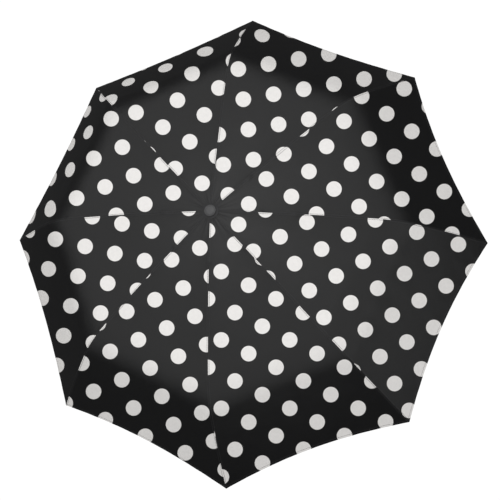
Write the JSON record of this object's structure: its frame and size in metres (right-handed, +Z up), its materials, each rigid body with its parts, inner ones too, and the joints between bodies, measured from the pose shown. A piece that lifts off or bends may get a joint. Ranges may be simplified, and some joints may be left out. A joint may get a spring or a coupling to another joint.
{
  "type": "compact folding umbrella",
  "caption": "Open compact umbrella with a telescopic shaft, folding three-part ribs, forked stretchers and a domed canopy of flat black gores with pale round dots.",
  "frame": {"origin": "centre of the handle's flat foot", "axes": "+Z up the shaft to the top cap, +Y along rib 1, ribs counted clockwise seen from above"},
  "size_m": [0.9592, 0.9592, 0.5534],
  "materials": {
    "black_cloth": "woven black cloth with pale printed dots",
    "soft_black_plastic": "soft-touch black",
    "dark_plastic": "moulded dark grey",
    "bright_steel": "satin steel",
    "dark_steel": "dark nickel steel"
  },
  "bodies": {
    "handle": {"handle_grip": "soft_black_plastic", "handle_end_cap": "dark_plastic", "handle_collar": "bright_steel", "handle_pin": "bright_steel", "lower_tube": "bright_steel"},
    "lower_catch": {"lower_catch": "bright_steel"},
    "mid_shaft": {"mid_tube": "bright_steel", "mid_tube_bush": "dark_plastic"},
    "mid_catch": {"mid_catch": "bright_steel"},
    "upper_shaft": {"upper_tube": "bright_steel", "upper_tube_bush": "dark_plastic", "crown": "dark_plastic", "crown_wire": "bright_steel", "top_cap": "dark_plastic", "gore_1": "black_cloth", "gore_2": "black_cloth", "gore_3": "black_cloth", "gore_4": "black_cloth", "gore_5": "black_cloth", "gore_6": "black_cloth", "gore_7": "black_cloth", "gore_8": "black_cloth"},
    "runner_catch": {"runner_catch": "bright_steel"},
    "runner": {"runner": "dark_plastic", "runner_wire": "bright_steel", "runner_sleeve": "soft_black_plastic"},
    "inner_rib_1": {"inner_rib_1": "dark_steel"},
    "middle_rib_1": {"middle_rib_1": "dark_steel"},
    "outer_rib_1": {"outer_rib_1": "dark_steel"},
    "stretcher_1": {"stretcher_1": "dark_steel"},
    "inner_rib_2": {"inner_rib_2": "dark_steel"},
    "middle_rib_2": {"middle_rib_2": "dark_steel"},
    "outer_rib_2": {"outer_rib_2": "dark_steel"},
    "stretcher_2": {"stretcher_2": "dark_steel"},
    "inner_rib_3": {"inner_rib_3": "dark_steel"},
    "middle_rib_3": {"middle_rib_3": "dark_steel"},
    "outer_rib_3": {"outer_rib_3": "dark_steel"},
    "stretcher_3": {"stretcher_3": "dark_steel"},
    "inner_rib_4": {"inner_rib_4": "dark_steel"},
    "middle_rib_4": {"middle_rib_4": "dark_steel"},
    "outer_rib_4": {"outer_rib_4": "dark_steel"},
    "stretcher_4": {"stretcher_4": "dark_steel"},
    "inner_rib_5": {"inner_rib_5": "dark_steel"},
    "middle_rib_5": {"middle_rib_5": "dark_steel"},
    "outer_rib_5": {"outer_rib_5": "dark_steel"},
    "stretcher_5": {"stretcher_5": "dark_steel"},
    "inner_rib_6": {"inner_rib_6": "dark_steel"},
    "middle_rib_6": {"middle_rib_6": "dark_steel"},
    "outer_rib_6": {"outer_rib_6": "dark_steel", "closing_strap": "black_cloth"},
    "stretcher_6": {"stretcher_6": "dark_steel"},
    "inner_rib_7": {"inner_rib_7": "dark_steel"},
    "middle_rib_7": {"middle_rib_7": "dark_steel"},
    "outer_rib_7": {"outer_rib_7": "dark_steel"},
    "stretcher_7": {"stretcher_7": "dark_steel"},
    "inner_rib_8": {"inner_rib_8": "dark_steel"},
    "middle_rib_8": {"middle_rib_8": "dark_steel"},
    "outer_rib_8": {"outer_rib_8": "dark_steel"},
    "stretcher_8": {"stretcher_8": "dark_steel"}
  },
  "joints": [
    {"name": "mid_tube_slide", "type": "slide", "parent": "handle", "child": "mid_shaft", "axis": [0, 0, 1], "range_m": [-0.123, 0]},
    {"name": "upper_tube_slide", "type": "slide", "parent": "mid_shaft", "child": "upper_shaft", "axis": [0, 0, 1], "range_m": [-0.118, 0]},
    {"name": "runner_slide", "type": "slide", "parent": "upper_shaft", "child": "runner", "axis": [0, 0, 1], "range_m": [-0.105, 0], "deforming": ["gore_1", "gore_2", "gore_3", "gore_4", "gore_5", "gore_6", "gore_7", "gore_8"]},
    {"name": "lower_catch_press", "type": "slide", "parent": "handle", "child": "lower_catch", "axis": [1, 0, 0], "range_m": [0, 0.0011], "stiffness_N_per_m": 200},
    {"name": "mid_catch_press", "type": "slide", "parent": "mid_shaft", "child": "mid_catch", "axis": [1, 0, 0], "range_m": [0, 0.0008], "stiffness_N_per_m": 200},
    {"name": "runner_catch_press", "type": "slide", "parent": "upper_shaft", "child": "runner_catch", "axis": [1, 0, 0], "range_m": [0, 0.0008], "stiffness_N_per_m": 200},
    {"name": "inner_rib_1_hinge", "type": "hinge", "parent": "upper_shaft", "child": "inner_rib_1", "pos_m": [0, 0.008, 0.545], "axis": [1, 0, 0], "range_deg": [-80.9, 0]},
    {"name": "middle_rib_1_hinge", "type": "hinge", "parent": "inner_rib_1", "child": "middle_rib_1", "pos_m": [0, 0.14959, 0.52325], "axis": [1, 0, 0], "range_deg": [0, 184.4]},
    {"name": "outer_rib_1_hinge", "type": "hinge", "parent": "middle_rib_1", "child": "outer_rib_1", "pos_m": [0, 0.29029, 0.4868], "axis": [1, 0, 0], "range_deg": [-145, 0]},
    {"name": "stretcher_1_hinge", "type": "hinge", "parent": "runner", "child": "stretcher_1", "pos_m": [0, 0.011, 0.46], "axis": [1, 0, 0], "range_deg": [0, 49.6]},
    {"name": "inner_rib_2_hinge", "type": "hinge", "parent": "upper_shaft", "child": "inner_rib_2", "pos_m": [0.00566, 0.00566, 0.545], "axis": [0.7071, -0.7071, 0], "range_deg": [-80.9, 0]},
    {"name": "middle_rib_2_hinge", "type": "hinge", "parent": "inner_rib_2", "child": "middle_rib_2", "pos_m": [0.10577, 0.10577, 0.52325], "axis": [0.7071, -0.7071, 0], "range_deg": [0, 184.4]},
    {"name": "outer_rib_2_hinge", "type": "hinge", "parent": "middle_rib_2", "child": "outer_rib_2", "pos_m": [0.20526, 0.20526, 0.4868], "axis": [0.7071, -0.7071, 0], "range_deg": [-145, 0]},
    {"name": "stretcher_2_hinge", "type": "hinge", "parent": "runner", "child": "stretcher_2", "pos_m": [0.00778, 0.00778, 0.46], "axis": [0.7071, -0.7071, 0], "range_deg": [0, 49.6]},
    {"name": "inner_rib_3_hinge", "type": "hinge", "parent": "upper_shaft", "child": "inner_rib_3", "pos_m": [0.008, 0, 0.545], "axis": [0, -1, 0], "range_deg": [-80.9, 0]},
    {"name": "middle_rib_3_hinge", "type": "hinge", "parent": "inner_rib_3", "child": "middle_rib_3", "pos_m": [0.14959, 0, 0.52325], "axis": [0, -1, 0], "range_deg": [0, 184.4]},
    {"name": "outer_rib_3_hinge", "type": "hinge", "parent": "middle_rib_3", "child": "outer_rib_3", "pos_m": [0.29029, 0, 0.4868], "axis": [0, -1, 0], "range_deg": [-145, 0]},
    {"name": "stretcher_3_hinge", "type": "hinge", "parent": "runner", "child": "stretcher_3", "pos_m": [0.011, 0, 0.46], "axis": [0, -1, 0], "range_deg": [0, 49.6]},
    {"name": "inner_rib_4_hinge", "type": "hinge", "parent": "upper_shaft", "child": "inner_rib_4", "pos_m": [0.00566, -0.00566, 0.545], "axis": [-0.7071, -0.7071, 0], "range_deg": [-80.9, 0]},
    {"name": "middle_rib_4_hinge", "type": "hinge", "parent": "inner_rib_4", "child": "middle_rib_4", "pos_m": [0.10577, -0.10577, 0.52325], "axis": [-0.7071, -0.7071, 0], "range_deg": [0, 184.4]},
    {"name": "outer_rib_4_hinge", "type": "hinge", "parent": "middle_rib_4", "child": "outer_rib_4", "pos_m": [0.20526, -0.20526, 0.4868], "axis": [-0.7071, -0.7071, 0], "range_deg": [-145, 0]},
    {"name": "stretcher_4_hinge", "type": "hinge", "parent": "runner", "child": "stretcher_4", "pos_m": [0.00778, -0.00778, 0.46], "axis": [-0.7071, -0.7071, 0], "range_deg": [0, 49.6]},
    {"name": "inner_rib_5_hinge", "type": "hinge", "parent": "upper_shaft", "child": "inner_rib_5", "pos_m": [0, -0.008, 0.545], "axis": [-1, 0, 0], "range_deg": [-80.9, 0]},
    {"name": "middle_rib_5_hinge", "type": "hinge", "parent": "inner_rib_5", "child": "middle_rib_5", "pos_m": [0, -0.14959, 0.52325], "axis": [-1, 0, 0], "range_deg": [0, 184.4]},
    {"name": "outer_rib_5_hinge", "type": "hinge", "parent": "middle_rib_5", "child": "outer_rib_5", "pos_m": [0, -0.29029, 0.4868], "axis": [-1, 0, 0], "range_deg": [-145, 0]},
    {"name": "stretcher_5_hinge", "type": "hinge", "parent": "runner", "child": "stretcher_5", "pos_m": [0, -0.011, 0.46], "axis": [-1, 0, 0], "range_deg": [0, 49.6]},
    {"name": "inner_rib_6_hinge", "type": "hinge", "parent": "upper_shaft", "child": "inner_rib_6", "pos_m": [-0.00566, -0.00566, 0.545], "axis": [-0.7071, 0.7071, 0], "range_deg": [-80.9, 0]},
    {"name": "middle_rib_6_hinge", "type": "hinge", "parent": "inner_rib_6", "child": "middle_rib_6", "pos_m": [-0.10577, -0.10577, 0.52325], "axis": [-0.7071, 0.7071, 0], "range_deg": [0, 184.4]},
    {"name": "outer_rib_6_hinge", "type": "hinge", "parent": "middle_rib_6", "child": "outer_rib_6", "pos_m": [-0.20526, -0.20526, 0.4868], "axis": [-0.7071, 0.7071, 0], "range_deg": [-145, 0]},
    {"name": "stretcher_6_hinge", "type": "hinge", "parent": "runner", "child": "stretcher_6", "pos_m": [-0.00778, -0.00778, 0.46], "axis": [-0.7071, 0.7071, 0], "range_deg": [0, 49.6]},
    {"name": "inner_rib_7_hinge", "type": "hinge", "parent": "upper_shaft", "child": "inner_rib_7", "pos_m": [-0.008, 0, 0.545], "axis": [0, 1, 0], "range_deg": [-80.9, 0]},
    {"name": "middle_rib_7_hinge", "type": "hinge", "parent": "inner_rib_7", "child": "middle_rib_7", "pos_m": [-0.14959, 0, 0.52325], "axis": [0, 1, 0], "range_deg": [0, 184.4]},
    {"name": "outer_rib_7_hinge", "type": "hinge", "parent": "middle_rib_7", "child": "outer_rib_7", "pos_m": [-0.29029, 0, 0.4868], "axis": [0, 1, 0], "range_deg": [-145, 0]},
    {"name": "stretcher_7_hinge", "type": "hinge", "parent": "runner", "child": "stretcher_7", "pos_m": [-0.011, 0, 0.46], "axis": [0, 1, 0], "range_deg": [0, 49.6]},
    {"name": "inner_rib_8_hinge", "type": "hinge", "parent": "upper_shaft", "child": "inner_rib_8", "pos_m": [-0.00566, 0.00566, 0.545], "axis": [0.7071, 0.7071, 0], "range_deg": [-80.9, 0]},
    {"name": "middle_rib_8_hinge", "type": "hinge", "parent": "inner_rib_8", "child": "middle_rib_8", "pos_m": [-0.10577, 0.10577, 0.52325], "axis": [0.7071, 0.7071, 0], "range_deg": [0, 184.4]},
    {"name": "outer_rib_8_hinge", "type": "hinge", "parent": "middle_rib_8", "child": "outer_rib_8", "pos_m": [-0.20526, 0.20526, 0.4868], "axis": [0.7071, 0.7071, 0], "range_deg": [-145, 0]},
    {"name": "stretcher_8_hinge", "type": "hinge", "parent": "runner", "child": "stretcher_8", "pos_m": [-0.00778, 0.00778, 0.46], "axis": [0.7071, 0.7071, 0], "range_deg": [0, 49.6]}
  ],
  "couplings": [
    {"joint": "inner_rib_1_hinge", "follows": "runner_slide", "rad_per_m": 13.422},
    {"joint": "middle_rib_1_hinge", "follows": "runner_slide", "rad_per_m": -30.626},
    {"joint": "outer_rib_1_hinge", "follows": "runner_slide", "rad_per_m": 24.078},
    {"joint": "stretcher_1_hinge", "follows": "runner_slide", "rad_per_m": -8.2277},
    {"joint": "inner_rib_2_hinge", "follows": "runner_slide", "rad_per_m": 13.422},
    {"joint": "middle_rib_2_hinge", "follows": "runner_slide", "rad_per_m": -30.626},
    {"joint": "outer_rib_2_hinge", "follows": "runner_slide", "rad_per_m": 24.078},
    {"joint": "stretcher_2_hinge", "follows": "runner_slide", "rad_per_m": -8.2277},
    {"joint": "inner_rib_3_hinge", "follows": "runner_slide", "rad_per_m": 13.422},
    {"joint": "middle_rib_3_hinge", "follows": "runner_slide", "rad_per_m": -30.626},
    {"joint": "outer_rib_3_hinge", "follows": "runner_slide", "rad_per_m": 24.078},
    {"joint": "stretcher_3_hinge", "follows": "runner_slide", "rad_per_m": -8.2277},
    {"joint": "inner_rib_4_hinge", "follows": "runner_slide", "rad_per_m": 13.422},
    {"joint": "middle_rib_4_hinge", "follows": "runner_slide", "rad_per_m": -30.626},
    {"joint": "outer_rib_4_hinge", "follows": "runner_slide", "rad_per_m": 24.078},
    {"joint": "stretcher_4_hinge", "follows": "runner_slide", "rad_per_m": -8.2277},
    {"joint": "inner_rib_5_hinge", "follows": "runner_slide", "rad_per_m": 13.422},
    {"joint": "middle_rib_5_hinge", "follows": "runner_slide", "rad_per_m": -30.626},
    {"joint": "outer_rib_5_hinge", "follows": "runner_slide", "rad_per_m": 24.078},
    {"joint": "stretcher_5_hinge", "follows": "runner_slide", "rad_per_m": -8.2277},
    {"joint": "inner_rib_6_hinge", "follows": "runner_slide", "rad_per_m": 13.422},
    {"joint": "middle_rib_6_hinge", "follows": "runner_slide", "rad_per_m": -30.626},
    {"joint": "outer_rib_6_hinge", "follows": "runner_slide", "rad_per_m": 24.078},
    {"joint": "stretcher_6_hinge", "follows": "runner_slide", "rad_per_m": -8.2277},
    {"joint": "inner_rib_7_hinge", "follows": "runner_slide", "rad_per_m": 13.422},
    {"joint": "middle_rib_7_hinge", "follows": "runner_slide", "rad_per_m": -30.626},
    {"joint": "outer_rib_7_hinge", "follows": "runner_slide", "rad_per_m": 24.078},
    {"joint": "stretcher_7_hinge", "follows": "runner_slide", "rad_per_m": -8.2277},
    {"joint": "inner_rib_8_hinge", "follows": "runner_slide", "rad_per_m": 13.422},
    {"joint": "middle_rib_8_hinge", "follows": "runner_slide", "rad_per_m": -30.626},
    {"joint": "outer_rib_8_hinge", "follows": "runner_slide", "rad_per_m": 24.078},
    {"joint": "stretcher_8_hinge", "follows": "runner_slide", "rad_per_m": -8.2277}
  ]
}
